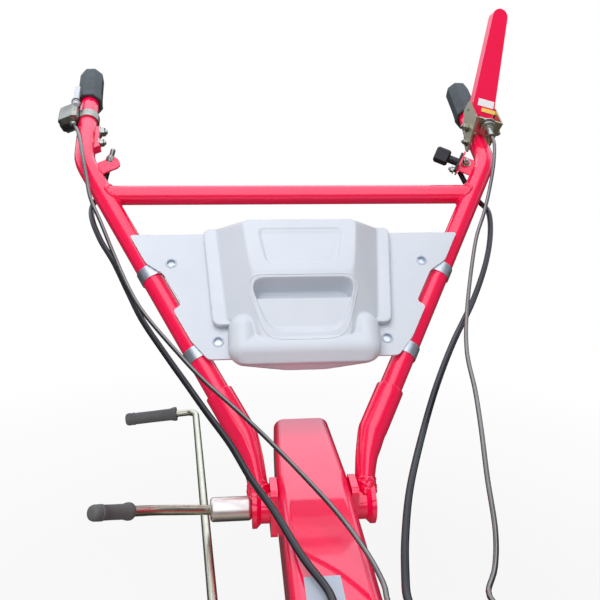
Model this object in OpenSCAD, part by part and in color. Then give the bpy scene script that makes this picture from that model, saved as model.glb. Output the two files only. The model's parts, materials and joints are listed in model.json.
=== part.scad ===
// Handlebar assembly of a hand tractor: box column on a king pin seat, V-shaped tilting
// handlebars with a moulded console, clutch lever, throttle, clamp lever and shift rod.
// Origin: king pin axis at the underside of the seat. X to the operator's left, Y to the
// operator, Z up. Millimetres.

/* [Column] */
// Width of the box beam
beam_w = 98; // [90:1:110]
// Height of the box beam
beam_h = 80; // [72:1:100]
// Radius of the beam's long edges
beam_edge_r = 16; // [8:1:24]
// Width of the beam's tail end
tail_w = 86; // [70:1:90]
// Length of the beam behind the pivot
tail_l = 175; // [130:1:220]
// Length of full width behind the pivot
tail_start = 22; // [0:1:60]
// Length of the beam in front of the king pin
nose_l = 58; // [50:1:80]
// Distance from the king pin to the handlebar pivot
pivot_y = 345; // [300:1:400]
// Depth of the pivot axis below the beam's top
pivot_drop = 40; // [34:1:48]
// Diameter of the king pin seat
seat_d = 150; // [120:1:180]
// Thickness of the king pin seat
seat_t = 12; // [8:1:20]
// Diameter of the king pin hub
hub_d = 72; // [60:1:84]
// Height of the hub above the beam
hub_rise = 14; // [6:1:30]
// Diameter of the king pin bore
king_pin_d = 40; // [25:1:45]

/* [Pivot] */
// Diameter of the pivot bolt
bolt_d = 20; // [14:1:24]
// Radial running clearance on the pivot bolt
bolt_clear = 0.05; // [0.02:0.01:0.1]
// Diameter of the arm eyes' flange
eye_d = 54; // [46:1:64]
// Diameter of the arm eyes' core
eye_core_d = 42; // [36:1:44]
// Width of the arm eyes
eye_w = 24; // [18:0.5:32]
// Thickness of the cheek plates on the beam
cheek_t = 9.4; // [6:0.1:12]
// Height of the cheek plates
cheek_h = 70; // [60:1:72]
// Length of the cheek plates
cheek_l = 46; // [40:1:60]
// Gap between a turning face and its seat
face_gap = 0.3; // [0.2:0.05:0.6]

/* [Handlebars] */
// Angle of the arms above the column
arm_tilt = 45; // [35:1:60]
// Diameter of the lower sleeves
sleeve_d = 41; // [38:1:48]
// Length of the sleeves above their bend
sleeve_l = 116; // [110:1:160]
// Height of the sleeve bend above the pivot
arm_bend_t = 60; // [50:1:80]
// Outward splay of the tubes
arm_splay = 28; // [20:1:34]
// Diameter of the handlebar tubes
tube_d = 34; // [30:1:36]
// Depth of the tubes in the sleeves
socket_l = 70; // [40:1:80]
// Height of the crossbar above the pivot
crossbar_t = 512; // [480:1:530]
// Diameter of the crossbar
crossbar_d = 32; // [25:1:34]
// Height of the grip bend above the pivot
grip_bend_t = 582; // [570:1:620]
// Bend of the grips away from the arm plane
grip_drop = 17; // [8:1:30]
// Outward splay of the right grip
grip_splay = 4.5; // [0:0.5:12]
// Outward splay of the left grip
left_splay = 1.5; // [0:0.5:12]
// Distance from the grip bend to the left rubber grip
grip_start = 142; // [130:1:160]
// How much further up the right rubber grip sits
grip_shift = 39; // [0:1:50]
// Length of the rubber grips
grip_l = 109; // [100:1:130]
// Width of the rubber grips
grip_d = 43; // [40:1:48]
// Width of the flange on the rubber grips
flange_d = 48; // [46:1:56]
// Bend radius of the tubes
bend_r = 75; // [60:1:95]

/* [Console] */
// Width of the back plate at its foot
plate_foot_w = 280; // [270:1:290]
// Height of the plate's top edge above the pivot
plate_top_t = 420; // [400:1:440]
// Height of the plate's foot above the pivot
plate_foot_t = 207; // [190:1:220]
// Thickness of the back plate
plate_t = 4; // [3:0.5:6]
// Depth of the notches beside the tubes
notch_depth = 17; // [10:1:22]
// Diameter of the plate's screw holes
plate_hole_d = 14; // [8:1:18]
// Width of the tube clips
clip_w = 20; // [14:1:28]
// Thickness of the tube clips
clip_t = 1.6; // [1.2:0.1:2.5]
// Width of the cover's plinth at its top
cover_top_w = 296; // [280:1:310]
// Width of the cover's plinth at its foot
cover_foot_w = 266; // [250:1:280]
// Height of the cover's top edge above the pivot
cover_top_t = 423; // [415:1:430]
// Height of the plinth's foot above the pivot
cover_foot_t = 256; // [245:1:265]
// Thickness of the cover's plinth
plinth_t = 12; // [8:1:18]
// Height of the cover above the plate
cover_h = 55; // [45:1:65]
// Diameter of the cover's rounded nose
nose_d = 44; // [38:1:48]
// Height of the nose above the pivot
nose_t = 213; // [208:1:220]
// Diameter of the two knuckles on the nose
knuckle_d = 44; // [36:1:48]
// Depth of the pocket in the cover
pocket_depth = 36; // [20:1:40]

/* [Clutch lever] */
// Length of the clutch lever
lever_l = 192; // [160:1:220]
// Width of the lever at its pivot
lever_base_w = 46; // [42:1:52]
// Width of the lever at its tip
lever_tip_w = 30; // [22:1:36]
// Depth of the lever's channel
lever_depth = 16; // [12:1:22]
// Sheet thickness of the lever
lever_sheet = 2.5; // [1.5:0.5:4]
// Angle of the lever above the grip
lever_raise = 46; // [35:1:55]
// Roll of the lever bracket about the tube
lever_roll = 14; // [0:1:20]
// Distance of the lever pivot from the grip bend
lever_s = 108; // [95:1:120]
// Height of the lever pivot above the tube axis
lever_up = 36; // [32:1:44]
// Diameter of the lever's pin
lever_pin_d = 8; // [6:1:10]

/* [Clamp lever] */
// Diameter of the clamp nut
nut_d = 32; // [28:1:40]
// Length of the clamp nut
nut_l = 55; // [45:1:65]
// Diameter of the clamp handle
handle_d = 13; // [10:1:16]
// Length of the clamp handle up to its bend
handle_in_l = 80; // [60:1:110]
// Length of the clamp handle beyond its bend
handle_out_l = 105; // [80:1:140]
// Lean of the handle from the nut's axis
handle_lean = 30; // [20:1:40]
// Lean of the handle beyond its bend
handle_out_lean = 54; // [45:1:65]
// Turn of the handle about the nut's axis
handle_turn = 142; // [120:1:160]
// Turn of the handle beyond its bend
handle_out_turn = 146; // [120:1:160]
// Length of the rubber grip on the clamp handle
clamp_knob_l = 62; // [50:1:75]
// Diameter of the small rubber grips
knob_d = 21; // [18:1:26]

/* [Shift rod] */
// Diameter of the shift rod
rod_d = 12; // [10:1:14]
// Length of the shift rod's long leg
rod_l = 655; // [560:1:700]
// Length of the shift rod's short leg
rod_leg = 120; // [100:1:150]
// Length of the rubber grip on the shift rod
shift_knob_l = 86; // [70:1:95]
// Depth of the shift rod below the pivot
rod_drop = 33; // [30:1:40]
// Distance of the rod from the middle at its guide
rod_out = 124; // [110:1:140]
// Outward splay of the shift rod
rod_splay = 4.9; // [3:0.1:7]
// Distance of the rod guide in front of the pivot
guide_y = 236; // [200:1:250]
// Length of the rod guide
guide_l = 44; // [30:1:60]

/* [Cables] */
// Diameter of the brake cable and the wire loom
thick_d = 9; // [7:0.5:11]
// Diameter of the throttle and clutch cables
thin_d = 6; // [5:0.5:7]

/* [Hidden] */
$fn = 48;
hull_fn = 32;
cable_sides = 8;

// Cuts run past the faces that they open
over = 2;
// Gap left between curved faces that are welded or pressed together
weld_gap = 0.15;
// Thickness of the thin sections that lofts run between
slab = 1;
// Straights run a little way into the slightly slimmer bends, so that they join
seam_l = 1;
seam_step = 0.2;

beam_z = seat_t;
beam_top = beam_z + beam_h;
pivot_z = beam_top - pivot_drop;
pivot = [0, pivot_y, pivot_z];

eye_in = beam_w / 2 + cheek_t + face_gap;
eye_out = eye_in + eye_w;
eye_x = eye_in + eye_w / 2;
nut_in = eye_out + face_gap;

function unit(v) = v / norm(v);
function tube_x(t) = eye_x + (t - arm_bend_t) * tan(arm_splay);
function tube_pt(t) = [tube_x(t), t, 0];
sleeve_bend = [eye_x, arm_bend_t, 0];
tube_dir = [sin(arm_splay), cos(arm_splay), 0];
sleeve_end = sleeve_bend + sleeve_l * tube_dir;
grip_bend = tube_pt(grip_bend_t);
function splay_at(side) = side < 0 ? grip_splay : left_splay;
function grip_dir(side) = let (a = splay_at(side))
    [sin(a) * cos(grip_drop), cos(a) * cos(grip_drop), -sin(grip_drop)];
grip_cap = 6;
function grip_from(side) = grip_start + (side < 0 ? grip_shift : 0);
function tube_end(side) = grip_from(side) + grip_l - grip_cap;
function tube_tip(side) = grip_bend + tube_end(side) * grip_dir(side);

rod_pt = [-rod_out, pivot_y - guide_y, pivot_z - rod_drop];
rod_dir = [-sin(rod_splay), cos(rod_splay), 0];
rod_front = 60;

// Outlines with eased corners, and outlines given for one half from the foot up
corner_steps = 6;
function eased(a, p, b, d) = let (u = unit(a - p), v = unit(b - p))
    [for (s = [0:corner_steps]) let (k = s / corner_steps)
        (1 - k) * (1 - k) * (p + d * u) + 2 * k * (1 - k) * p + k * k * (p + d * v)];
function eased_loop(q, d) = let (n = len(q))
    [for (i = [0:n - 1]) each eased(q[(i + n - 1) % n], q[i], q[(i + 1) % n], d)];
function both_sides(half) = concat(half, [for (i = [len(half) - 1:-1:0]) [-half[i][0], half[i][1]]]);

module span(a, b) {
    d = b - a;
    translate(a) rotate([0, acos(d[2] / norm(d)), atan2(d[1], d[0])]) children();
}

module bar(a, b, d) {
    span(a, b) cylinder(d = d, h = norm(b - a));
}

// Straight, bend and straight as one round bar, drawn in the frame of its bend
module bent_bar(a, corner, b, r, d) {
    u = unit(corner - a);
    v = unit(b - corner);
    turn = acos(u * v);
    tangent = r * tan(turn / 2);
    n = unit(v - u * (u * v));
    w = cross(-n, u);
    c = corner - u * tangent + n * r;
    multmatrix([
        [-n[0], u[0], w[0], c[0]],
        [-n[1], u[1], w[1], c[1]],
        [-n[2], u[2], w[2], c[2]],
        [0, 0, 0, 1]
    ]) {
        translate([r, seam_l, 0]) rotate([90, 0, 0])
            cylinder(d = d, h = norm(corner - a) - tangent + seam_l);
        rotate_extrude(angle = turn) translate([r, 0]) circle(d = d - seam_step);
        rotate([0, 0, turn]) translate([r, -seam_l, 0]) rotate([-90, 0, 0])
            cylinder(d = d, h = norm(b - corner) - tangent + seam_l);
    }
}

module on_arms(side = 1) {
    translate(pivot) rotate([arm_tilt, 0, 0]) mirror([side < 0 ? 1 : 0, 0, 0]) children();
}

module on_grip(side = 1) {
    on_arms(side) translate(grip_bend) rotate([-grip_drop, 0, -splay_at(side)]) children();
}

// Frame on a tube at height t, Y along the tube and X away from the middle
module on_tube(side, t) {
    on_arms(side) translate(tube_pt(t)) rotate([0, 0, -arm_splay]) children();
}

module along_y(s, d, h) {
    translate([0, s, 0]) rotate([-90, 0, 0]) cylinder(d = d, h = h);
}

module along_x(x, d, h) {
    translate([x, 0, 0]) rotate([0, 90, 0]) cylinder(d = d, h = h);
}

module rounded_rect(w, h, r) {
    translate([-w / 2, r]) square([w, h - 2 * r]);
    translate([-w / 2 + r, 0]) square([w - 2 * r, h]);
    for (x = [-w / 2 + r, w / 2 - r], y = [r, h - r]) translate([x, y]) circle(r = r);
}

module section_slab(w, y, l, grow = 0) {
    translate([0, y + l, beam_z - grow]) rotate([90, 0, 0]) linear_extrude(l)
        rounded_rect(w + 2 * grow, beam_h + 2 * grow, beam_edge_r + grow);
}

// Room for a tube in the pieces that are fixed to it
module tube_room(side) {
    on_arms(side) bent_bar(sleeve_end - socket_l * tube_dir, grip_bend, tube_tip(side), bend_r,
        tube_d + 2 * weld_gap);
}

/* Column */

module beam() {
    color("crimson") difference() {
        union() {
            section_slab(beam_w, -nose_l, nose_l + pivot_y + tail_start);
            hull() {
                section_slab(beam_w, pivot_y + tail_start - slab, slab, $fn = hull_fn);
                section_slab(tail_w, pivot_y + tail_l - slab, slab, $fn = hull_fn);
            }
        }
        translate([0, 0, beam_z - over]) cylinder(d = hub_d + 2 * weld_gap, h = beam_h + 2 * over);
        translate(pivot) along_x(-beam_w / 2 - over, bolt_d + 2 * weld_gap, beam_w + 2 * over);
    }
}

module king_pin_hub() {
    color("crimson") difference() {
        cylinder(d = hub_d, h = beam_top + hub_rise);
        translate([0, 0, -over]) cylinder(d = king_pin_d, h = beam_top + hub_rise + 2 * over);
    }
}

module king_pin_seat() {
    color("crimson") difference() {
        cylinder(d = seat_d, h = seat_t);
        translate([0, 0, -over]) cylinder(d = hub_d + 2 * weld_gap, h = seat_t + 2 * over);
    }
}

module pivot_cheeks() {
    cheek_r = 8;
    color("crimson") for (side = [-1, 1]) translate(pivot) mirror([side < 0 ? 1 : 0, 0, 0])
        difference() {
            translate([beam_w / 2, 0, -cheek_h / 2]) rotate([90, 0, 90]) linear_extrude(cheek_t)
                rounded_rect(cheek_l, cheek_h, cheek_r);
            along_x(beam_w / 2 - over, bolt_d + 2 * weld_gap, cheek_t + 2 * over);
        }
}

module pivot_bolt() {
    tip = nut_in + nut_l - bolt_d / 2;
    color("silver") translate(pivot) along_x(-tip, bolt_d, tip + eye_out);
}

module rod_guide() {
    wall = 5;
    arm_t = 6;
    arm_l = 40;
    color("crimson") difference() {
        union() {
            translate(rod_pt) rotate([0, 0, rod_splay]) along_y(-guide_l / 2, rod_d + 2 * wall, guide_l);
            translate([-rod_out, rod_pt[1] - arm_l / 2, rod_pt[2] - arm_t / 2])
                cube([rod_out - beam_w / 2 + beam_edge_r, arm_l, arm_t]);
        }
        translate(rod_pt) rotate([0, 0, rod_splay]) along_y(-guide_l, rod_d + 2 * bolt_clear, 2 * guide_l);
        section_slab(beam_w, 0, pivot_y, weld_gap);
    }
}

/* Cables */

stop_y = 66;
stop_x = 72;
stop_w = 200;
stop_h = 26;
stop_t = 5;
stop_up = 13;
end_l = 34;
end_d = 11;
collar_d = 15;
collar_l = 6;
cable_lead = 20;
stop_xs_share = [-0.405, -0.13, -0.025, 0.4];
function stop_pt(i) = [stop_x + stop_w * stop_xs_share[i], stop_y, beam_top + stop_up];

module cable_stop() {
    color("silver") difference() {
        translate([stop_x - stop_w / 2, stop_y - stop_t, beam_top]) cube([stop_w, stop_t, stop_h]);
        for (i = [0:len(stop_xs_share) - 1]) translate(stop_pt(i))
            along_y(-stop_t - over, end_d + 2 * weld_gap, stop_t + 2 * over);
    }
}

module cable_ends() {
    color("gray") for (i = [0:len(stop_xs_share) - 1]) translate(stop_pt(i)) {
        along_y(-end_l / 2, end_d, end_l);
        along_y(weld_gap, collar_d, collar_l);
    }
}

// Cable routes from the handlebar down to the stop, measured from the pivot
throttle_route = [
    [-378, 490, 468], [-365, 455, 461], [-354, 420, 447], [-345, 385, 425], [-335, 352, 395],
    [-325, 320, 365], [-305, 285, 332], [-280, 245, 285], [-255, 200, 248], [-230, 162, 222],
    [-185, 108, 188], [-145, 65, 160], [-95, 20, 130], [-55, -30, 110], [-7, -103, 88],
    [18, -148, 76], [36, -192, 66], [46, -225, 56]
];
brake_route = [
    [-309, 413, 402], [-316, 407, 379], [-326, 394, 356], [-334, 374, 340], [-328, 339, 325],
    [-310, 300, 300], [-285, 260, 274], [-260, 216, 240], [-235, 170, 210], [-200, 122, 176],
    [-170, 80, 150], [-140, 36, 125], [-110, -8, 102], [-85, -56, 80], [-59, -106, 66],
    [-33, -178, 57], [-14, -222, 54]
];
loom_route = [
    [305, 420, 393], [318, 404, 367], [332, 382, 346], [340, 352, 332], [330, 308, 302], [305, 252, 266],
    [265, 185, 226], [212, 105, 190], [172, 40, 155], [140, -18, 118], [101, -110, 95], [80, -176, 74],
    [70, -222, 57]
];
clutch_route = [
    [358, 419, 455], [357, 400, 444], [348, 370, 415], [333, 338, 378], [312, 298, 342], [285, 252, 302],
    [245, 152, 230], [222, 75, 190], [207, -10, 168], [194, -75, 148], [183, -135, 118], [175, -190, 88],
    [165, -222, 66]
];

function frame_side(t) = unit(cross(t, abs(t[2]) > 0.9 ? [1, 0, 0] : [0, 0, 1]));
function tangents(p) = [for (i = [0:len(p) - 1])
    unit(p[min(i + 1, len(p) - 1)] - p[max(i - 1, 0)])];
function ring(c, t, r) = let (s = frame_side(t), u = cross(s, t))
    [for (k = [0:cable_sides - 1]) let (a = 360 * k / cable_sides) c + r * (cos(a) * s + sin(a) * u)];

module swept(p, d) {
    t = tangents(p);
    n = len(p);
    m = cable_sides;
    points = [for (i = [0:n - 1]) each ring(p[i], t[i], d / 2)];
    sides = [for (i = [0:n - 2], k = [0:m - 1], f = [0, 1])
        let (a = i * m + k, b = i * m + (k + 1) % m) f == 0 ? [a, b, b + m] : [a, b + m, a + m]];
    caps = [[for (k = [m - 1:-1:0]) k], [for (k = [0:m - 1]) (n - 1) * m + k]];
    polyhedron(points, concat(sides, caps));
}

module cable(route, d, i) {
    fitting = stop_pt(i) + [0, end_l / 2, 0];
    swept(concat([for (p = route) pivot + p], [fitting + [0, cable_lead, 0], fitting]), d);
}

module throttle_cable() { color("dimgray") cable(throttle_route, thin_d, 1); }
module brake_cable() { color("dimgray") cable(brake_route, thick_d, 0); }
module wire_loom() { color("dimgray") cable(loom_route, thick_d, 2); }
module clutch_cable() { color("dimgray") cable(clutch_route, thin_d, 3); }

/* Handlebars */

eye_lip = 6;
eye_flare = 6;

module eye_body(grow = 0) {
    core_r = eye_core_d / 2 + grow;
    rim_r = eye_d / 2 + grow;
    translate([eye_in - grow, 0, 0]) rotate([90, 0, 90]) rotate_extrude() polygon([
        [0, 0], [core_r, 0], [core_r, eye_w - eye_lip - eye_flare], [rim_r, eye_w - eye_lip],
        [rim_r, eye_w + 2 * grow], [0, eye_w + 2 * grow]
    ]);
}

module eye(side) {
    color("crimson") on_arms(side) difference() {
        eye_body();
        along_x(eye_in - over, bolt_d + 2 * bolt_clear, eye_w + 2 * over);
    }
}

module eye_left() { eye(1); }
module eye_right() { eye(-1); }

foot_t = 20;
foot_w = 28;
foot_depth = 45;
foot_x = eye_in + face_gap + foot_w / 2;
waist_t = 38;
waist_w = 28;
waist_in = 2.8;
waist_depth = 45;
waist_x = eye_in + waist_in + waist_w / 2;
waist_turn = arm_splay / 4;
loft_l = 42;
loft_step = 1;

module sleeve_section(at, turn, w, d) {
    translate(at) rotate([0, 0, -turn]) rotate([-90, 0, 0]) linear_extrude(slab) scale([w, d])
        circle(d = 1, $fn = hull_fn);
}

// Sleeve that is round where it takes the tube and flattened where it is welded to its eye
module arm(side) {
    loft_end = sleeve_bend + loft_l * tube_dir;
    loft_d = sleeve_d - loft_step;
    color("crimson") on_arms(side) difference() {
        union() {
            hull() {
                sleeve_section([foot_x, foot_t, 0], 0, foot_w, foot_depth);
                sleeve_section([waist_x, waist_t, 0], waist_turn, waist_w, waist_depth);
            }
            hull() {
                sleeve_section([waist_x, waist_t, 0], waist_turn, waist_w, waist_depth);
                sleeve_section(loft_end, arm_splay, loft_d, loft_d);
            }
            bar(loft_end, sleeve_end, sleeve_d);
        }
        eye_body(weld_gap);
        bar(sleeve_end - socket_l * tube_dir, sleeve_end + over * tube_dir, tube_d + 2 * weld_gap);
    }
}

module arm_left() { arm(1); }
module arm_right() { arm(-1); }

module tube(side) {
    color("crimson") on_arms(side)
        bent_bar(sleeve_end - (socket_l - face_gap) * tube_dir, grip_bend, tube_tip(side), bend_r, tube_d);
}

module tube_left() { tube(1); }
module tube_right() { tube(-1); }

module crossbar() {
    half = tube_x(crossbar_t);
    color("crimson") difference() {
        on_arms() translate([0, crossbar_t, 0]) along_x(-half, crossbar_d, 2 * half);
        for (side = [-1, 1]) tube_room(side);
    }
}

grip_sides = 10;
grip_chamfer = 7;
flange_l = 9;

module grip(side) {
    from = grip_from(side);
    color([0.16, 0.17, 0.18]) on_grip(side) difference() {
        union() {
            along_y(from, grip_d, grip_l - grip_chamfer, $fn = grip_sides);
            translate([0, from + grip_l - grip_chamfer, 0]) rotate([-90, 0, 0])
                cylinder(d1 = grip_d, d2 = grip_d - 2 * grip_chamfer, h = grip_chamfer, $fn = grip_sides);
            along_y(from, flange_d, flange_l);
        }
        along_y(from - over, tube_d + 2 * weld_gap, tube_end(side) - from + over + face_gap);
    }
}

module grip_left() { grip(1); }
module grip_right() { grip(-1); }

/* Console */

plate_z = tube_d / 2 + clip_t + 2 * weld_gap;
clip_ts_share = [0.67, 0.03];
hole_ts_share = [0.756, 0.13];
edge_ts_share = [0.14, 0.38, 0.42, 0.67, 0.76];
hole_in = 38;
plate_ease = 6;
function plate_t_at(share) = plate_foot_t + share * (plate_top_t - plate_foot_t);
function plate_edge(share, inset = 0) = let (t = plate_t_at(share)) [tube_x(t) - inset, t];
plate_half = [
    [plate_foot_w / 2, plate_foot_t], plate_edge(edge_ts_share[0]),
    plate_edge(edge_ts_share[1]), plate_edge(edge_ts_share[2], notch_depth),
    plate_edge(edge_ts_share[3], notch_depth), plate_edge(edge_ts_share[4]), plate_edge(1)
];

// Back plate whose edges lie on the tubes, with a notch on each side where the upper clip shows
module console_plate() {
    color([0.84, 0.86, 0.92]) on_arms() translate([0, 0, plate_z]) linear_extrude(plate_t) difference() {
        polygon(eased_loop(both_sides(plate_half), plate_ease));
        for (side = [-1, 1], share = hole_ts_share)
            translate([side * plate_edge(share, hole_in)[0], plate_t_at(share)]) circle(d = plate_hole_d);
    }
}

// Places on the cover as shares of its height from foot to top and of its half width
function cover_pt(x_share, t_share) =
    [x_share * cover_top_w / 2, cover_foot_t + t_share * (cover_top_t - cover_foot_t)];
body_half_share = [[0.76, 0.06], [0.865, 0.99]];
ridge_half_share = [[0.515, 0.395], [0.59, 0.93]];
brow_half_share = [[0.42, -0.18], [0.44, -0.17]];
pocket_half_share = [[0.35, -0.19], [0.545, 0.335]];
floor_half_share = [[0.33, -0.16], [0.5, 0.285]];
inset_half_share = [[0.36, 0.475], [0.43, 0.8]];
skirt_half_share = [[0.15, -0.42], [0.66, -0.36], [0.73, -0.3], [0.73, 0.12]];
knuckle_share = 0.6;
knuckle_l = 32;
nose_up = 17;
brow_z = 37;
inset_t = 1.2;
plinth_ease = 12;
pocket_ease = 24;
inset_ease = 10;
ridge_ease = 14;
floor_tilt = 14;
function cover_half(shares) = both_sides([for (q = shares) cover_pt(q[0], q[1])]);

// Moulded cover: plinth, sloping body with a flat ridge, rounded nose with two knuckles, deep pocket
module console_cover() {
    floor_top = cover_pt(0, floor_half_share[1][1]);
    color([0.86, 0.88, 0.93]) on_arms() translate([0, 0, plate_z + plate_t]) difference() {
        union() {
            linear_extrude(plinth_t) polygon(eased_loop(both_sides([
                [cover_foot_w / 2, cover_foot_t], [cover_top_w / 2, cover_top_t]]), plinth_ease));
            hull() {
                linear_extrude(plinth_t) polygon(cover_half(body_half_share));
                translate([0, 0, cover_h - slab]) linear_extrude(slab)
                    polygon(eased_loop(cover_half(ridge_half_share), ridge_ease));
                translate([0, 0, brow_z - slab]) linear_extrude(slab) polygon(cover_half(brow_half_share));
            }
            hull() {
                linear_extrude(slab) polygon(eased_loop(cover_half(skirt_half_share), ridge_ease / 2));
                translate([0, nose_t, nose_up]) along_x(-knuckle_share * cover_top_w / 2, nose_d,
                    knuckle_share * cover_top_w, $fn = hull_fn);
            }
            for (side = [-1, 1]) hull() for (l = [0, knuckle_l])
                translate([side * knuckle_share * cover_top_w / 2, nose_t + l, nose_up])
                    sphere(d = knuckle_d, $fn = hull_fn);
        }
        hull() {
            translate([0, 0, cover_h]) linear_extrude(over)
                polygon(eased_loop(cover_half(pocket_half_share), pocket_ease));
            translate([0, floor_top[1], cover_h - pocket_depth]) rotate([-floor_tilt, 0, 0])
                translate([0, -floor_top[1], 0]) linear_extrude(slab)
                    polygon(eased_loop(cover_half(floor_half_share), pocket_ease));
        }
        translate([0, 0, cover_h - inset_t]) linear_extrude(inset_t + over)
            polygon(eased_loop(cover_half(inset_half_share), inset_ease));
        translate([-cover_top_w, 0, -cover_h]) cube([2 * cover_top_w, cover_top_t, cover_h]);
    }
}

// Bands round the tubes whose tongues hold the plate from below
module tube_clips() {
    tongue_l = 44;
    color("silver") for (side = [-1, 1], share = clip_ts_share) difference() {
        on_tube(side, plate_t_at(share)) {
            along_y(0, tube_d + 2 * weld_gap + 2 * clip_t, clip_w);
            translate([-tongue_l, 0, tube_d / 2 + weld_gap]) cube([tongue_l, clip_w, clip_t]);
        }
        tube_room(side);
    }
}

/* Hand controls */

ferrule_t = 548;
ferrule_tab = [34, 24, 4];
ferrule_d = 12;
ferrule_l = 20;
throttle_s = 126;
throttle_out = 30;
throttle_up = 8;
throttle_box = [36, 40, 30];
throttle_bevel = 6;
throttle_turn = 20;
boss_d = 11;
boss_l = 24;
ring_w = 20;
ring_wall = 3;
thumb_out = 19;
thumb_up = 22;
thumb_neck = [11, 11];
thumb_collar = [15, 5];
thumb_l = 52;
thumb_tip = [9, 4];

// Bevelled box beside the tube with a clamp ring, and a boss that takes the cable
module throttle_housing() {
    root = pivot + throttle_route[0];
    back = unit(throttle_route[0] - throttle_route[1]);
    color("silver") difference() {
        union() {
            on_grip(-1) translate([throttle_out, throttle_s, throttle_up]) rotate([0, throttle_turn, 0])
                hull() for (cut = [[1, 0, 0], [0, 1, 1]])
                    cube(throttle_box - 2 * throttle_bevel * cut, center = true);
            on_grip(-1) along_y(throttle_s - ring_w / 2, tube_d + 2 * ring_wall, ring_w);
            bar(root + weld_gap * back, root + boss_l * back, boss_d);
        }
        tube_room(-1);
    }
}

// Thumb lever: neck, collar and a blade that thins to its tip
module throttle_lever() {
    foot = throttle_s + throttle_box[1] / 2 + face_gap;
    color("gainsboro") on_grip(-1) translate([thumb_out, foot, thumb_up]) {
        along_y(0, thumb_neck[0], thumb_neck[1]);
        along_y(thumb_neck[1] - thumb_collar[1], thumb_collar[0], thumb_collar[1]);
        hull() {
            along_y(thumb_neck[1], thumb_neck[0], slab, $fn = hull_fn);
            translate([-thumb_tip[0] / 2, thumb_neck[1] + thumb_l - slab, -thumb_tip[1] / 2])
                cube([thumb_tip[0], slab, thumb_tip[1]]);
        }
    }
}

module brake_ferrule() {
    root = pivot + brake_route[0];
    back = unit(brake_route[0] - brake_route[1]);
    color("silver") difference() {
        union() {
            on_tube(-1, ferrule_t) translate([-tube_d / 2 - ferrule_tab[0], 0, -ferrule_tab[2] / 2])
                cube(ferrule_tab + [tube_d / 2, 0, 0]);
            bar(root + weld_gap * back, root + ferrule_l * back, ferrule_d);
        }
        tube_room(-1);
    }
}

module clutch_frame() {
    on_grip(1) rotate([0, lever_roll, 0]) children();
}

ear_t = 3;
ear_gap = 1;
ear_x = lever_base_w / 2 + ear_gap;
ear_r = 12;
bracket_s = 62;
band_w = 24;
web_foot = 18;
cheek_foot = [34, 15];
cheek_sink = 8;
cheek_ease = 7;

// Side cheek of the bracket, longer on the inner side of the tube
module clutch_cheek(reach) {
    rotate([90, 0, 90]) linear_extrude(ear_t) polygon(eased_loop([
        [bracket_s - reach, -cheek_sink], [bracket_s - reach + cheek_foot[1], -cheek_sink],
        [lever_s + ear_r, lever_up - ear_r], [lever_s + ear_r, lever_up + ear_r],
        [bracket_s, lever_up + ear_r]
    ], cheek_ease));
}

module clutch_bracket() {
    color([0.75, 0.72, 0.55]) clutch_frame() difference() {
        union() {
            along_y(bracket_s, tube_d + 2 * ear_t, band_w);
            translate([ear_x, 0, 0]) clutch_cheek(0);
            translate([-ear_x - ear_t, 0, 0]) clutch_cheek(cheek_foot[0]);
            translate([-ear_x - ear_t, bracket_s, web_foot])
                cube([2 * (ear_x + ear_t), ear_t, lever_up + ear_r - web_foot]);
            for (side = [-1, 1]) translate([side > 0 ? 0 : -ear_x, bracket_s, -ear_t / 2])
                cube([ear_x, band_w, ear_t]);
        }
        along_y(bracket_s - over, tube_d + 2 * weld_gap, lever_s);
        translate([0, lever_s, lever_up]) along_x(-ear_x - ear_t - over, lever_pin_d + 2 * weld_gap,
            2 * (ear_x + ear_t + over));
        translate([0, 0, lever_up]) along_y(bracket_s - over, end_d + 2 * weld_gap, ear_t + 2 * over);
    }
}

module clutch_pin() {
    half = ear_x + ear_t + ear_gap;
    color("silver") clutch_frame() translate([0, lever_s, lever_up]) along_x(-half, lever_pin_d, 2 * half);
}

module clutch_adjuster() {
    color("silver") clutch_frame() translate([0, 0, lever_up]) {
        along_y(bracket_s - end_l, end_d, end_l + ear_t + collar_l);
        along_y(bracket_s - weld_gap - collar_l, collar_d, collar_l);
        along_y(bracket_s - weld_gap - 2 * collar_l, end_d + ear_t, collar_l);
    }
}

module lever_outline(inset) {
    tip = lever_l - lever_tip_w / 2;
    polygon([
        [-lever_base_w / 2 + inset, inset - ear_r], [lever_base_w / 2 - inset, inset - ear_r],
        [lever_tip_w / 2 - inset, tip], [-lever_tip_w / 2 + inset, tip]
    ]);
    translate([0, tip]) circle(d = lever_tip_w - 2 * inset);
}

module clutch_lever() {
    color("crimson") clutch_frame() translate([0, lever_s, lever_up]) rotate([lever_raise, 0, 0])
    difference() {
        translate([0, 0, -lever_depth / 2]) linear_extrude(lever_depth) lever_outline(0);
        translate([0, 0, -lever_depth / 2 - over]) linear_extrude(lever_depth + over - lever_sheet)
            lever_outline(lever_sheet);
        along_x(-lever_base_w, lever_pin_d + 2 * bolt_clear, 2 * lever_base_w);
        translate([-lever_base_w, -ear_r - over, -lever_depth])
            cube([2 * lever_base_w, over + lever_sheet, 2 * lever_depth]);
    }
}

switch_t = 545;
switch_tab = [24, 34, 3];
switch_wall = 14;
switch_neck = 16;
switch_neck_d = 14;
switch_knob = [26, 25, 25];
switch_base = [4, 32, 26];
switch_turn = 30;
switch_bevel = 3;

module switch_frame() {
    on_tube(1, switch_t) translate([-tube_d / 2 - switch_tab[0], switch_tab[1] / 2, 0]) children();
}

// Bent tab: a web on the tube and a flange that carries the switch
module switch_bracket() {
    color("crimson") difference() {
        switch_frame() {
            translate([0, -switch_tab[1] / 2, -switch_tab[2] / 2]) cube(switch_tab + [tube_d / 2, 0, 0]);
            translate([0, -switch_tab[1] / 2, -switch_wall])
                cube([switch_tab[2], switch_tab[1], 2 * switch_wall]);
        }
        tube_room(1);
    }
}

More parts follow.
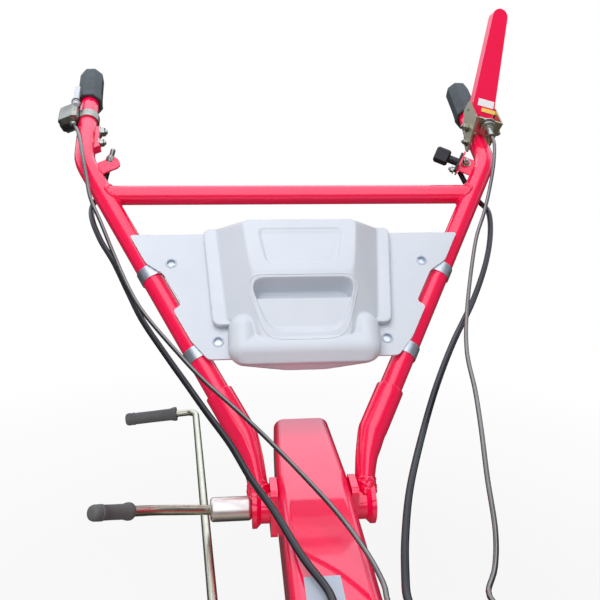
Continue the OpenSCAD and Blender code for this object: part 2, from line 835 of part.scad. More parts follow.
module stop_switch() {
    color([0.08, 0.08, 0.09]) switch_frame() rotate([switch_turn, 0, 0]) {
        translate([-switch_base[0], -switch_base[1] / 2, -switch_base[2] / 2]) cube(switch_base);
        along_x(-switch_base[0] - switch_neck, switch_neck_d, switch_neck);
        translate([-switch_base[0] - switch_neck - switch_knob[0] / 2, 0, 0]) hull() {
            cube(switch_knob - [0, 2 * switch_bevel, 2 * switch_bevel], center = true);
            cube(switch_knob - [2 * switch_bevel, 0, 2 * switch_bevel], center = true);
            cube(switch_knob - [2 * switch_bevel, 2 * switch_bevel, 0], center = true);
        }
    }
}

/* Clamp lever */

nut_end = [-(nut_in + nut_l), pivot_y, pivot_z];
function lean_dir(lean, turn) = [-cos(lean), sin(lean) * cos(turn), sin(lean) * sin(turn)];
handle_dir = lean_dir(handle_lean, handle_turn);
handle_bend = nut_end + handle_in_l * handle_dir;
handle_end = handle_bend + handle_out_l * lean_dir(handle_out_lean, handle_out_turn);
nut_ease = 3;

// Long round nut with eased ends
module clamp_nut() {
    r = nut_d / 2;
    color("gainsboro") difference() {
        translate(nut_end) rotate([90, 0, 90]) rotate_extrude() polygon([
            [0, 0], [r - nut_ease, 0], [r, nut_ease],
            [r, nut_l - nut_ease], [r - nut_ease, nut_l], [0, nut_l]
        ]);
        translate(nut_end) along_x(bolt_d / 2 - face_gap, bolt_d + 2 * bolt_clear, nut_l);
    }
}

module clamp_handle() {
    color("silver") difference() {
        bent_bar(nut_end - handle_d * handle_dir, handle_bend, handle_end, bend_r, handle_d);
        translate(nut_end) along_x(0, nut_d, nut_l);
    }
}

knob_lip = 2;
knob_lip_l = 5;
knob_flare = 6;
knob_ease = 3;

// Small rubber grip over a rod's end, with a flared mouth and an eased tip
module knob_on(a, b, l, rod) {
    d = unit(b - a);
    r = knob_d / 2;
    end = l + grip_cap;
    difference() {
        span(b - l * d, b) rotate_extrude() polygon([
            [0, 0], [r + knob_lip, 0], [r + knob_lip, knob_lip_l], [r, knob_lip_l + knob_flare],
            [r, end - knob_ease], [r - knob_ease, end], [0, end]
        ]);
        bar(b - (l + over) * d, b + face_gap * d, rod + 2 * weld_gap);
    }
}

module clamp_knob() {
    color([0.16, 0.17, 0.18]) knob_on(handle_bend, handle_end, clamp_knob_l, handle_d);
}

/* Shift rod */

leg_tilt = 5.5;
rod_bend_r = 18;
rod_start = rod_pt - rod_front * rod_dir;
rod_corner = rod_start + rod_l * rod_dir;
leg_dir = [-cos(leg_tilt), 0, -sin(leg_tilt)];
rod_tip = rod_corner + rod_leg * leg_dir;

module shift_rod() {
    color("silver") bent_bar(rod_start, rod_corner, rod_tip, rod_bend_r, rod_d);
}

module shift_knob() {
    color([0.16, 0.17, 0.18]) knob_on(rod_corner, rod_tip, shift_knob_l, rod_d);
}

beam();
king_pin_hub();
king_pin_seat();
pivot_cheeks();
pivot_bolt();
rod_guide();
cable_stop();
cable_ends();
eye_left();
eye_right();
arm_left();
arm_right();
tube_left();
tube_right();
crossbar();
grip_left();
grip_right();
console_plate();
console_cover();
tube_clips();
throttle_housing();
throttle_lever();
brake_ferrule();
clutch_bracket();
clutch_pin();
clutch_adjuster();
switch_bracket();
stop_switch();
clutch_lever();
clamp_nut();
clamp_handle();
clamp_knob();
shift_rod();
shift_knob();
throttle_cable();
brake_cable();
wire_loom();
clutch_cable();
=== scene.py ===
import json
import math

import bpy
from mathutils import Euler, Matrix, Vector, noise
from mathutils.bvhtree import BVHTree


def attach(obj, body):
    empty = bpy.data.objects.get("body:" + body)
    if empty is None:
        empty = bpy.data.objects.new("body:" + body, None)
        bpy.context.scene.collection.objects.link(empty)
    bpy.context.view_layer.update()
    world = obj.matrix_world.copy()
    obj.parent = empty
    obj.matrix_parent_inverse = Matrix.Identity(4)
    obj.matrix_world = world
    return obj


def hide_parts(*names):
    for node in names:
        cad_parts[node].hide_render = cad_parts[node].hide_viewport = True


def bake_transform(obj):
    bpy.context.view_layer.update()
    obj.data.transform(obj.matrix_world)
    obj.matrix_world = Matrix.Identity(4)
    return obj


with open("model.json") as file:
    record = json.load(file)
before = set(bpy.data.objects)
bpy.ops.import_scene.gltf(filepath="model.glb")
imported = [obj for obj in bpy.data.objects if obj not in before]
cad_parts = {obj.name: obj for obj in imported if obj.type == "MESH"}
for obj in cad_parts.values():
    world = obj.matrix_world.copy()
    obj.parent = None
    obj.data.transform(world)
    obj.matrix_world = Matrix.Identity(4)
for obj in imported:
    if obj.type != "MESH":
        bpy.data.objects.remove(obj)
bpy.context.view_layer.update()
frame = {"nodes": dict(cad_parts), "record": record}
nodes = frame["nodes"]
scene = bpy.context.scene
millimetre = 0.001  # in the scene's metres
here = Matrix()


def turned(degrees, axis):
    return Matrix.Rotation(math.radians(degrees), 4, axis)


def moved(x, y, z):
    return Matrix.Translation((x, y, z))


def around(count):
    return [2 * math.pi * k / count for k in range(count)]


# Once round and back to the first angle
def fullRound(count):
    return [*around(count), 2 * math.pi]


cameraLook = {
    "place": (-0.1028, -0.4667, 0.6043), "pitch": 72.29, "yaw": -5.73, "roll": 0.73,
    "lens": 42.0, "sensor": 36.0, "clip": (0.02, 60),
}


def makeCamera():
    data = bpy.data.cameras.new("camera")
    data.lens, data.sensor_width = cameraLook["lens"], cameraLook["sensor"]
    data.clip_start, data.clip_end = cameraLook["clip"]
    camera = bpy.data.objects.new("camera", data)
    pitch, yaw = math.radians(cameraLook["pitch"]), math.radians(cameraLook["yaw"])
    look = Euler((pitch, 0, yaw)).to_matrix().to_4x4()
    camera.matrix_world = moved(*cameraLook["place"]) @ look @ turned(cameraLook["roll"], "Z")
    scene.collection.objects.link(camera)
    scene.camera = camera


makeCamera()
print("camera done")

# Places on the part, in millimetres and as in the solids; side 1 is left and -1 is right
arms = {
    "names": {1: "left", -1: "right"}, "pivot": (0, 345, 52), "tilt": 45, "splay": 28, "eyeX": 70.7,
    "bendHeight": 60, "gripBend": 582, "gripDrop": 17, "gripSplay": {1: 1.5, -1: 4.5}, "leverRoll": 14,
    "tube": 34, "crossbar": 512, "bar": 32,
}


def tubeX(height):
    return arms["eyeX"] + (height - arms["bendHeight"]) * math.tan(math.radians(arms["splay"]))


def onArms(side=1):
    return moved(*arms["pivot"]) @ turned(arms["tilt"], "X") @ Matrix.Scale(side, 4, (1, 0, 0))


def onTube(side, height):
    return onArms(side) @ moved(tubeX(height), height, 0) @ turned(-arms["splay"], "Z")


def onGrip(side):
    bend = moved(tubeX(arms["gripBend"]), arms["gripBend"], 0)
    return onArms(side) @ bend @ turned(-arms["gripSplay"][side], "Z") @ turned(-arms["gripDrop"], "X")


def onClutch():
    return onGrip(1) @ turned(arms["leverRoll"], "Y")


# A place with its Z along a direction
def pointed(start, way):
    return moved(*start) @ way.to_track_quat("Z", "Y").to_matrix().to_4x4()


class Wire:
    def __init__(self, graph, socket):
        self.graph, self.socket = graph, socket

    def maths(self, kind, a, b):
        return self.graph.node("ShaderNodeMath", {0: a, 1: b}, operation=kind)

    def __add__(self, other):
        return self.maths("ADD", self, other)

    def __radd__(self, other):
        return self.maths("ADD", other, self)

    def __sub__(self, other):
        return self.maths("SUBTRACT", self, other)

    def __rsub__(self, other):
        return self.maths("SUBTRACT", other, self)

    def __mul__(self, other):
        return self.maths("MULTIPLY", self, other)

    def __rmul__(self, other):
        return self.maths("MULTIPLY", other, self)


class Graph:
    def __init__(self, tree):
        self.tree = tree

    def node(self, kind, inputs, output=0, **settings):
        made = self.tree.nodes.new(kind)
        for key, value in settings.items():
            setattr(made, key, value)
        for key, value in inputs.items():
            if isinstance(value, Wire):
                self.tree.links.new(value.socket, made.inputs[key])
            else:
                made.inputs[key].default_value = value
        return Wire(self, made.outputs[output])

    def fade(self, factor, first, second):
        inputs = {"Factor": factor, 6: (*first, 1), 7: (*second, 1)}  # 6 and 7 are the colours A and B
        return self.node("ShaderNodeMix", inputs, 2, data_type="RGBA")

    def axis(self, vector, name):
        return self.node("ShaderNodeSeparateXYZ", {0: vector}, name)


class Surface(Graph):
    def __init__(self, name, slot=None, **fixed):
        self.slot = slot
        self.material = bpy.data.materials.new(name)
        self.material.use_nodes = True
        super().__init__(self.material.node_tree)
        self.shader = self.tree.nodes["Principled BSDF"]
        for socket, value in fixed.items():
            self.shader.inputs[socket].default_value = value

    def feed(self, socket, wire):
        self.tree.links.new(wire.socket, self.shader.inputs[socket])

    def noise(self, scale, detail):
        spot = self.node("ShaderNodeTexCoord", {}, "Object")
        return self.node("ShaderNodeTexNoise", {"Vector": spot, "Scale": scale, "Detail": detail}, "Fac")

    def grain(self, wire, strength, depth):
        bump = {"Height": wire, "Strength": strength, "Distance": depth}
        self.feed("Normal", self.node("ShaderNodeBump", bump))


# Finishes: two tones in patches, roughness as low and spread of a mottle, grain as scale, strength and depth
usualNoise = {"detail": 3, "grainDetail": 3}
glossPaint = {
    "slot": "red_paint", "tones": [(0.92, 0.0008, 0.07), (0.85, 0.0006, 0.058)], "patches": 9,
    "rough": (0.32, 0.2), "mottle": 24, "grain": (700, 0.05, 0.0004),
    "fixed": {"Specular IOR Level": 0.2, "Coat Weight": 1.0, "Coat Roughness": 0.06, "Coat IOR": 1.62},
}
mouldedPlastic = {
    "slot": "grey_plastic", "tones": [(0.535, 0.568, 0.63), (0.595, 0.628, 0.69)], "patches": 14,
    "rough": (0.36, 0.16), "mottle": 60, "grain": (1600, 0.12, 0.0003), "grainDetail": 2,
    "fixed": {"Specular IOR Level": 0.45},
}
rubber = {
    "slot": "black_rubber", "patches": 40, "rough": (0.45, 0.25), "mottle": 90, "grain": (900, 0.25, 0.0004),
    "fixed": {"Specular IOR Level": 0.4},
}
blackPlastic = {
    "slot": "black_plastic", "tones": [(0.006, 0.006, 0.007), (0.013, 0.013, 0.014)], "patches": 60,
    "rough": (0.3, 0.2), "mottle": 120, "grain": (1300, 0.1, 0.0003), "fixed": {"Specular IOR Level": 0.5},
}
plated = {
    "slot": "zinc_steel", "patches": 55, "detail": 4, "mottle": 180, "grain": (420, 0.06, 0.0003),
    "fixed": {"Metallic": 1.0},
}
sheath = {
    "slot": "cable_sheath", "tones": [(0.006, 0.006, 0.007), (0.013, 0.013, 0.014)], "patches": 70,
    "rough": (0.22, 0.14), "mottle": 140, "grain": (800, 0.05, 0.0003),
    "fixed": {"Specular IOR Level": 0.3, "Coat Weight": 0.4, "Coat Roughness": 0.04, "Coat IOR": 1.6},
}
sticker = {
    "slot": "grey_plastic", "patches": 90, "rough": (0.35, 0.15), "mottle": 200,
    "fixed": {"Specular IOR Level": 0.4},
}


def finish(name, family, **own):
    look = {**usualNoise, **family, **own}
    surface = Surface(name, look["slot"], **look["fixed"])
    patches = surface.noise(look["patches"], look["detail"])
    surface.feed("Base Color", surface.fade(patches, *look["tones"]))
    low, spread = look["rough"]
    surface.feed("Roughness", low + spread * surface.noise(look["mottle"], look["detail"]))
    if "grain" in look:
        scale, strength, depth = look["grain"]
        surface.grain(surface.noise(scale, look["grainDetail"]), strength, depth)
    return surface


red = finish("redPaint", glossPaint)
grey = finish("greyPlastic", mouldedPlastic)
gripRubber = finish("gripRubber", rubber, tones=[(0.034, 0.043, 0.045), (0.052, 0.063, 0.066)])
knobRubber = finish("knobRubber", rubber, tones=[(0.08, 0.081, 0.082), (0.125, 0.126, 0.127)])
black = finish("blackPlastic", blackPlastic)
steel = finish("zincSteel", plated, tones=[(0.44, 0.44, 0.36), (0.55, 0.54, 0.45)], rough=(0.24, 0.22))
yellowSteel = finish("yellowZinc", plated, slot="yellow_zinc", rough=(0.22, 0.22),
                     tones=[(0.51, 0.45, 0.27), (0.6, 0.52, 0.37)])
chromed = finish("chrome", plated, slot="chrome", rough=(0.3, 0.12),
                 tones=[(0.74, 0.65, 0.56), (0.84, 0.75, 0.66)])
clipSteel = finish("clipSteel", plated, tones=[(0.74, 0.77, 0.78), (0.84, 0.86, 0.87)], rough=(0.36, 0.2))
rodSteel = finish("rodSteel", plated, tones=[(0.5, 0.49, 0.35), (0.67, 0.65, 0.51)], rough=(0.2, 0.2))
castMetal = finish("castMetal", plated, tones=[(0.18, 0.18, 0.155), (0.58, 0.57, 0.47)], rough=(0.22, 0.3))
darkSheath = finish("darkSheath", sheath)
paleSheath = finish("paleSheath", plated, slot="cable_sheath", rough=(0.2, 0.14),
                    tones=[(0.18, 0.17, 0.15), (0.27, 0.25, 0.23)])
blankLabel = finish("blankLabel", sticker, tones=[(0.8, 0.81, 0.84), (0.88, 0.88, 0.9)])
yellowTab = finish("yellowTab", sticker, tones=[(0.9, 0.62, 0.1), (0.95, 0.72, 0.2)])
# Grey-blue finish: the bare plate on the beam, and painted shade on the rims of the plate's holes
barePlateAndHoleShade = finish("barePlateAndHoleShade", sticker, tones=[(0.4, 0.45, 0.54), (0.48, 0.53, 0.62)])
print("materials done")


# The smooth curve through four points, at a share of the way from the second to the third
def between(a, b, c, d, s):
    return 0.5 * (2 * b + (c - a) * s + (2 * a - 5 * b + 4 * c - d) * s * s
                  + (3 * b - a - 3 * c + d) * s * s * s)


def alongPath(points, step):
    route = [Vector(p) for p in points]
    ends = [2 * route[0] - route[1], *route, 2 * route[-1] - route[-2]]
    path = []
    for i in range(1, len(ends) - 2):
        four = ends[i - 1:i + 3]
        count = max(2, round((four[2] - four[1]).length / step))
        path += [between(*four, k / count) for k in range(count)]
    return [*path, route[-1]]


def smoothSections(sections, steps):
    ends = [sections[0], *sections, sections[-1]]
    smooth = []
    for i in range(1, len(ends) - 2):
        columns = list(zip(*ends[i - 1:i + 3]))
        smooth += [[between(*four, k / steps) for four in columns] for k in range(steps)]
    return [*smooth, list(sections[-1])]


# Bolts in shares of their own sizes, with the washer's thickness and the stem's rise in millimetres
boltLook = {
    "hole": 0.35, "washer": 1.6, "washerSides": 24, "rim": 0.8, "crown": 0.84, "headSides": 6,
    "stem": 0.3, "stemRise": (2.4, 3.2), "stemTip": 0.7, "stemSides": 18,
}
weldLook = {"sides": 10, "lump": 0.22, "rough": 0.3}


class Shape:
    def __init__(self):
        self.points, self.faces = [], []

    def add(self, points, faces, place):
        base = len(self.points)
        self.points += [place @ Vector(p) for p in points]
        flip = place.determinant() < 0
        self.faces += [[base + i for i in (face[::-1] if flip else face)] for face in faces]
        return self

    def rings(self, rows, place, closed=True):
        count = len(rows[0])
        faces = []
        for i in range(len(rows) - 1):
            low, high = i * count, (i + 1) * count
            for k in range(count):
                after = (k + 1) % count
                faces.append([low + k, low + after, high + after, high + k])
        if closed:
            last = (len(rows) - 1) * count
            faces += [list(range(count))[::-1], [last + k for k in range(count)]]
        return self.add([p for row in rows for p in row], faces, place)

    def lathe(self, profile, place, sides, hollow=False):
        outline = [*profile, profile[0]] if hollow else profile
        rows = [[(r * math.cos(a), r * math.sin(a), z) for a in around(sides)] for r, z in outline]
        return self.rings(rows, place, not hollow)

    def tube(self, path, radius, place, sides):
        spots = [Vector(p) for p in path]
        last = len(spots) - 1
        tangent = (spots[1] - spots[0]).normalized()
        side = tangent.orthogonal().normalized()
        rows = []
        for i, spot in enumerate(spots):
            fresh = (spots[min(i + 1, last)] - spots[max(i - 1, 0)]).normalized()
            side = (tangent.rotation_difference(fresh) @ side).normalized()
            tangent = fresh
            other = tangent.cross(side)
            r = radius[i] if isinstance(radius, list) else radius
            rows.append([spot + r * (math.cos(a) * side + math.sin(a) * other) for a in around(sides)])
        return self.rings(rows, place)

    def weld(self, path, radius, place, rough=weldLook["rough"]):
        lumps = [radius * (1 + rough * noise.noise(Vector(p) * weldLook["lump"])) for p in path]
        return self.tube(path, lumps, place, weldLook["sides"])

    def bolt(self, place, across, height, washer):
        hole, thick = across * boltLook["hole"], boltLook["washer"]
        self.lathe([(hole, 0), (washer, 0), (washer, thick), (hole, thick)], place, boltLook["washerSides"])
        corner = across / math.sqrt(3)
        head = place @ moved(0, 0, thick)
        flats = [(corner, 0), (corner, height * boltLook["rim"]), (corner * boltLook["crown"], height)]
        self.lathe(flats, head, boltLook["headSides"])
        stem = across * boltLook["stem"]
        low, high = boltLook["stemRise"]
        thread = [(stem, height), (stem, height + low), (stem * boltLook["stemTip"], height + high)]
        return self.lathe(thread, head, boltLook["stemSides"])

    def slab(self, outline, low, high, place):
        return self.rings([[(x, y, low) for x, y in outline], [(x, y, high) for x, y in outline]], place)

    def made(self, name, surface, sharp):
        mesh = bpy.data.meshes.new(name)
        mesh.from_pydata([p * millimetre for p in self.points], [], self.faces)
        mesh.materials.append(surface.material)
        mesh.polygons.foreach_set("use_smooth", [True] * len(mesh.polygons))
        mesh.set_sharp_from_angle(angle=math.radians(sharp))
        piece = bpy.data.objects.new(name, mesh)
        scene.collection.objects.link(piece)
        return piece


def rectangle(low, high):
    return [low, (high[0], low[1]), high, (low[0], high[1])]


# Routes of the cables from the pivot, as in the solids, with the cable stop's fittings at their ends
cableStop = {"x": 72, "width": 200, "y": 66, "z": 105, "reach": 17, "lead": 20}
cableMake = {"step": 6, "sides": 16, "sharp": 35}
cables = {
    "throttleCable": {
        "node": "throttle_cable", "thick": 6, "share": -0.13, "stiffness": "stiff", "look": paleSheath,
        "route": [
            (-378, 490, 468), (-365, 455, 461), (-354, 420, 447), (-345, 385, 425), (-335, 352, 395),
            (-325, 320, 365), (-305, 285, 332), (-280, 245, 285), (-255, 200, 248), (-230, 162, 222),
            (-185, 108, 188), (-145, 65, 160), (-95, 20, 130), (-55, -30, 110), (-7, -103, 88),
            (18, -148, 76), (36, -192, 66), (46, -225, 56)]},
    "brakeCable": {
        "node": "brake_cable", "thick": 9, "share": -0.405, "stiffness": "stiff", "look": darkSheath,
        "route": [
            (-309, 413, 402), (-316, 407, 379), (-326, 394, 356), (-334, 374, 340), (-328, 339, 325),
            (-310, 300, 300), (-285, 260, 274), (-260, 216, 240), (-235, 170, 210), (-200, 122, 176),
            (-170, 80, 150), (-140, 36, 125), (-110, -8, 102), (-85, -56, 80), (-59, -106, 66),
            (-33, -178, 57), (-14, -222, 54)]},
    "wireLoom": {
        "node": "wire_loom", "thick": 9, "share": -0.025, "stiffness": "medium", "look": darkSheath,
        "route": [
            (305, 420, 393), (318, 404, 367), (332, 382, 346), (340, 352, 332), (330, 308, 302),
            (305, 252, 266), (265, 185, 226), (212, 105, 190), (172, 40, 155), (140, -18, 118),
            (101, -110, 95), (80, -176, 74), (70, -222, 57)]},
    "clutchCable": {
        "node": "clutch_cable", "thick": 6, "share": 0.4, "stiffness": "stiff", "look": paleSheath,
        "route": [
            (358, 419, 455), (357, 400, 444), (348, 370, 415), (333, 338, 378), (312, 298, 342),
            (285, 252, 302), (245, 152, 230), (222, 75, 190), (207, -10, 168), (194, -75, 148),
            (183, -135, 118), (175, -190, 88), (165, -222, 66)]},
}


def makeCable(name, cable):
    across = cableStop["x"] + cableStop["width"] * cable["share"]
    end = Vector((across, cableStop["y"] + cableStop["reach"], cableStop["z"]))
    route = [Vector(arms["pivot"]) + Vector(p) for p in cable["route"]]
    path = alongPath([*route, end + Vector((0, cableStop["lead"], 0)), end], cableMake["step"])
    shape = Shape().tube(path, cable["thick"] / 2, here, cableMake["sides"])
    piece = shape.made(name, cable["look"], cableMake["sharp"])
    length = sum((b - a).length for a, b in zip(path, path[1:]))
    path[0] * millimetre
    cable["thick"] * millimetre
    [p * millimetre for p in path]
    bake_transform(piece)
    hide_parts(cable["node"])


for cableName, cableFacts in cables.items():
    makeCable(cableName, cableFacts)
print("cables done")

# Moulded cover: the solid's form with soft edges, in x, height along the arms and z above them
coverLook = {
    "voxel": 1.6, "soften": (0.5, 5), "top": 77.9, "topBand": 3, "pocketFrom": 32,
    "panel": {"low": (54, 335), "high": (65, 396), "depth": 1.5, "corner": 10, "slope": 3},
    "rim": {"corners": [(-57, 219), (57, 219), (86, 316), (-86, 316)], "ease": 27, "easeSteps": 8,
            "thick": 1.1, "sides": 8, "sink": 0.25, "steps": 4, "castFrom": 150, "sharp": 60},
    "floor": {"brow": (226, 59.9), "ridge": (322, 77.9), "inset": 5.0, "slot": (282, 287), "slotDrop": 30},
    "nose": {"at": (213, 39.9), "radius": 22, "skin": 2, "faces": (127, 196), "ends": (84, 106)},
}


def clamped(value):
    return min(max(value, 0), 1)


def panelDepth(spot):
    panel = coverLook["panel"]
    (lowX, lowT), (highX, highT) = panel["low"], panel["high"]
    lean = (highX - lowX) / (highT - lowT)
    side = (lowX + (spot.y - lowT) * lean - abs(spot.x)) / math.hypot(1, lean)
    inner = [side, spot.y - lowT, highT - spot.y]
    corner = panel["corner"]
    edge = min(inner)
    if edge < corner:
        edge = corner - math.hypot(*[max(corner - d, 0) for d in inner])
    share = clamped(edge / panel["slope"])
    return panel["depth"] * share * share * (3 - 2 * share)


def inPocket(spot):
    (lowX, lowT), (highX, highT) = coverLook["rim"]["corners"][1:3]
    return lowT < spot.y < highT and abs(spot.x) < lowX + (spot.y - lowT) * (highX - lowX) / (highT - lowT)


# The pocket's floor lies just under the sloping front and drops into a finger slot at its upper end
def floorHeight(along):
    floor = coverLook["floor"]
    (lowT, lowZ), (highT, highZ) = floor["brow"], floor["ridge"]
    near, far = floor["slot"]
    front = lowZ + (along - lowT) * (highZ - lowZ) / (highT - lowT) - floor["inset"]
    return front - floor["slotDrop"] * clamped((along - near) / (far - near))


# The nose's round front is drawn out to a lip where its front and lower faces meet
def noseReach(spot):
    nose = coverLook["nose"]
    along, up = spot.y - nose["at"][0], spot.z - nose["at"][1]
    turn = math.degrees(math.atan2(up, along)) % 360
    first, second = nose["faces"]
    if not first < turn < second or abs(math.hypot(along, up) - nose["radius"]) > nose["skin"]:
        return 1
    low, high = nose["ends"]
    fade = 1 - clamped((abs(spot.x) - low) / (high - low))
    return 1 + fade * (1 / math.cos(math.radians(min(turn - first, second - turn))) - 1)


def shaped(spot):
    if spot.z > coverLook["top"] - coverLook["topBand"]:
        return spot - Vector((0, 0, panelDepth(spot)))
    if spot.z > coverLook["pocketFrom"] and inPocket(spot):
        return Vector((spot.x, spot.y, max(spot.z, floorHeight(spot.y))))
    core = Vector((spot.x, *coverLook["nose"]["at"]))
    return core + (spot - core) * noseReach(spot)


def makeCover():
    piece = bpy.data.objects.new("cover", nodes["console_cover"].data.copy())
    scene.collection.objects.link(piece)
    grid = piece.modifiers.new("grid", "REMESH")
    grid.mode, grid.voxel_size = "VOXEL", coverLook["voxel"] * millimetre
    soft = piece.modifiers.new("soft", "SMOOTH")
    soft.factor, soft.iterations = coverLook["soften"]
    mesh = bpy.data.meshes.new_from_object(piece.evaluated_get(bpy.context.evaluated_depsgraph_get()))
    piece.modifiers.clear()
    piece.data = mesh
    mesh.materials.clear()
    mesh.materials.append(grey.material)
    mesh.polygons.foreach_set("use_smooth", [True] * len(mesh.polygons))
    place = onArms()
    back = place.inverted()
    for vertex in mesh.vertices:
        vertex.co = (place @ shaped(back @ (vertex.co / millimetre))) * millimetre
    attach(piece, "handlebar")
    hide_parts("console_cover")
    return mesh


def eased(corners, reach, steps):
    loop = []
    for i, corner in enumerate(corners):
        p, before, after = Vector(corner), Vector(corners[i - 1]), Vector(corners[(i + 1) % len(corners)])
        a, b = p + (before - p).normalized() * reach, p + (after - p).normalized() * reach
        for k in range(steps + 1):
            s = k / steps
            loop.append((1 - s) ** 2 * a + 2 * s * (1 - s) * p + s * s * b)
    return loop


def makeRim(mesh):
    look = coverLook["rim"]
    skin = BVHTree.FromPolygons([v.co for v in mesh.vertices], [list(p.vertices) for p in mesh.polygons])
    place = onArms()
    up = (place.to_3x3() @ Vector((0, 0, 1))).normalized()
    loop = eased(look["corners"], look["ease"], look["easeSteps"])
    path = []
    for a, b in zip(loop, [*loop[1:], loop[0]]):
        for k in range(look["steps"]):
            x, t = a.lerp(b, k / look["steps"])
            hit = skin.ray_cast((place @ Vector((x, t, look["castFrom"]))) * millimetre, -up)
            path.append(hit[0] / millimetre - look["sink"] * up)
    rim = Shape().tube([*path, path[0]], look["thick"], here, look["sides"])
    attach(rim.made("pocketRim", grey, look["sharp"]), "handlebar")


makeRim(makeCover())
print("cover done")

# Arms: round sleeves that flow into flat feet, as x, height, width, depth and turn of their sections
armLook = {
    "sections": [
        (73, 17, 27, 44, 0), (73.2, 26, 27.4, 44.6, 2), (75.5, 40, 28, 45, 6), (79.6, 62, 31, 44, 13),
        (85, 80, 36, 42.6, 21), (90.4, 97.1, 40, 41, 28), (97, 109.5, 41, 41, 28),
        (124.8, 161.7, 41, 41, 28)],
    "lip": [(0.985, 0.6), (0.94, 1.0), (0.8, 1.0)], "steps": 5, "sides": 48, "sharp": 40,
}


def makeArm(side):
    rows = []
    for x, height, width, depth, turn in smoothSections(armLook["sections"], armLook["steps"]):
        lean = math.radians(turn)
        row = []
        for a in around(armLook["sides"]):
            out, up = 0.5 * width * math.cos(a), -0.5 * depth * math.sin(a)
            row.append((x + out * math.cos(lean), height - out * math.sin(lean), up))
        rows.append(row)
    end = rows[-1]
    middle = sum((Vector(p) for p in end), Vector()) / len(end)
    lean = math.radians(arms["splay"])
    for share, up in armLook["lip"]:
        lift = Vector((math.sin(lean), math.cos(lean), 0)) * up
        rows.append([middle + (Vector(p) - middle) * share + lift for p in end])
    name = arms["names"][side]
    piece = Shape().rings(rows, onArms(side)).made(name + "Arm", red, armLook["sharp"])
    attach(piece, "handlebar")
    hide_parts("arm_" + name)


for armSide in (1, -1):
    makeArm(armSide)
print("arms done")

# Rubber grips with long facets, an eased end and a flared mouth, as radius and place along
gripLook = {
    "start": {1: 142, -1: 181}, "facets": 8, "facetFrom": 19, "roundShare": 0.12, "swell": 1.04,
    "profile": [(17.4, 8), (18.6, 0.4), (23.2, 0), (23.6, 3), (22.6, 12), (21.8, 30), (21.8, 98),
                (20.6, 102.5), (15.5, 108), (9, 109)],
    "sides": 64, "sharp": 22,
}


def gripRadius(radius, angle):
    if radius < gripLook["facetFrom"]:
        return radius
    facet = 2 * math.pi / gripLook["facets"]
    inset = math.cos(facet / 2) / math.cos((angle + facet / 2) % facet - facet / 2)
    return radius * (gripLook["roundShare"] + (1 - gripLook["roundShare"]) * inset) * gripLook["swell"]


def makeGrip(side):
    start = gripLook["start"][side]
    rows = []
    for radius, along in gripLook["profile"]:
        spokes = [(gripRadius(radius, a), a) for a in around(gripLook["sides"])]
        rows.append([(r * math.cos(a), start + along, -r * math.sin(a)) for r, a in spokes])
    name = arms["names"][side]
    piece = Shape().rings(rows, onGrip(side)).made(name + "Grip", gripRubber, gripLook["sharp"])
    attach(piece, "handlebar")
    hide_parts("grip_" + name)


for gripSide in (1, -1):
    makeGrip(gripSide)
print("grips done")

# Turned pieces: the clamp nut, and the small rubber knobs with a flared mouth and a ringed tip
turnedLook = {"sides": 40, "sharp": 40}
knobLook = {
    "mouth": [(6.7, 3), (7.2, 0.3), (12, 0), (12.5, 1.4), (12.5, 4.6), (11.6, 8), (10.7, 12)],
    "middle": 10.4,
    "tip": [(10.5, 17), (11.3, 16), (11.3, 12.5), (10.4, 11.8), (10.4, 10.6), (11.2, 9.8), (11.1, 5),
            (10, 2), (7.6, 0.4), (4, 0)],  # radius and distance from the end
}
turnedPieces = {
    "clampNut": {
        "node": "clamp_nut", "body": "clamp_lever", "look": chromed, "from": (-138, 345, 52),
        "to": (-83, 345, 52),
        "profile": [(7, 0), (12.5, 0), (14.6, 0.9), (15.7, 2.6), (16, 5), (16, 50.4), (15.6, 52.4),
                    (14.6, 54), (13, 55), (10.1, 55), (10.1, 12)]},
    "clampKnob": {
        "node": "clamp_knob", "body": "clamp_lever", "look": knobRubber, "from": (-232.6, 284.7, 96.1),
        "to": (-269.5, 242.5, 124.5), "slim": 0.87},
    "shiftKnob": {
        "node": "shift_knob", "body": "shift_rod", "look": knobRubber, "from": (-208.7, 701.8, 15.7),
        "to": (-300.3, 701.8, 6.9), "slim": 1},
}


def knobProfile(length, slim):
    tip = [(radius, length - back) for radius, back in knobLook["tip"]]
    outline = [*knobLook["mouth"], (knobLook["middle"], length / 2), *tip]
    return [(radius * slim, along) for radius, along in outline]


def makeTurned():
    for name, piece in turnedPieces.items():
        start = Vector(piece["from"])
        way = Vector(piece["to"]) - start
        profile = piece["profile"] if "profile" in piece else knobProfile(way.length, piece["slim"])
        shape = Shape().lathe(profile, pointed(start, way), turnedLook["sides"])
        made = shape.made(name, piece["look"], turnedLook["sharp"])
        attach(made, piece["body"])
        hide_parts(piece["node"])


makeTurned()
print("turned pieces done")

# Weld beads at crossbar, hub and arm feet; a foot's passes are x, height, width, depth and thickness share
beads = {
    "saddle": 3.4, "saddleSteps": 60, "hub": 3.6, "hubRadius": 37, "hubSteps": 96, "beamTop": 92,
    "foot": 3.0, "footSteps": 90, "footRough": 0.55, "wave": 0.7, "waves": 5, "sharp": 60,
    "passes": [(72.6, 10, 23, 40, 1.2), (72.8, 14, 23.4, 40, 1.25), (73, 18, 23.6, 40, 1.25),
               (73, 22, 24, 40.6, 1.2), (73.2, 26, 24.6, 41.6, 1.05), (73.8, 29.5, 25.4, 42.6, 0.8)],
}


def saddleLoop():
    lean = math.radians(arms["splay"])
    bar, pipe = arms["bar"] / 2, arms["tube"] / 2
    loop = []
    for a in fullRound(beads["saddleSteps"]):
        up, out = bar * math.cos(a), bar * math.sin(a)
        gap = -math.sqrt(pipe * pipe - out * out)
        x = tubeX(arms["crossbar"]) + (gap + up * math.sin(lean)) / math.cos(lean)
        loop.append((x, arms["crossbar"] + up, out))
    return loop


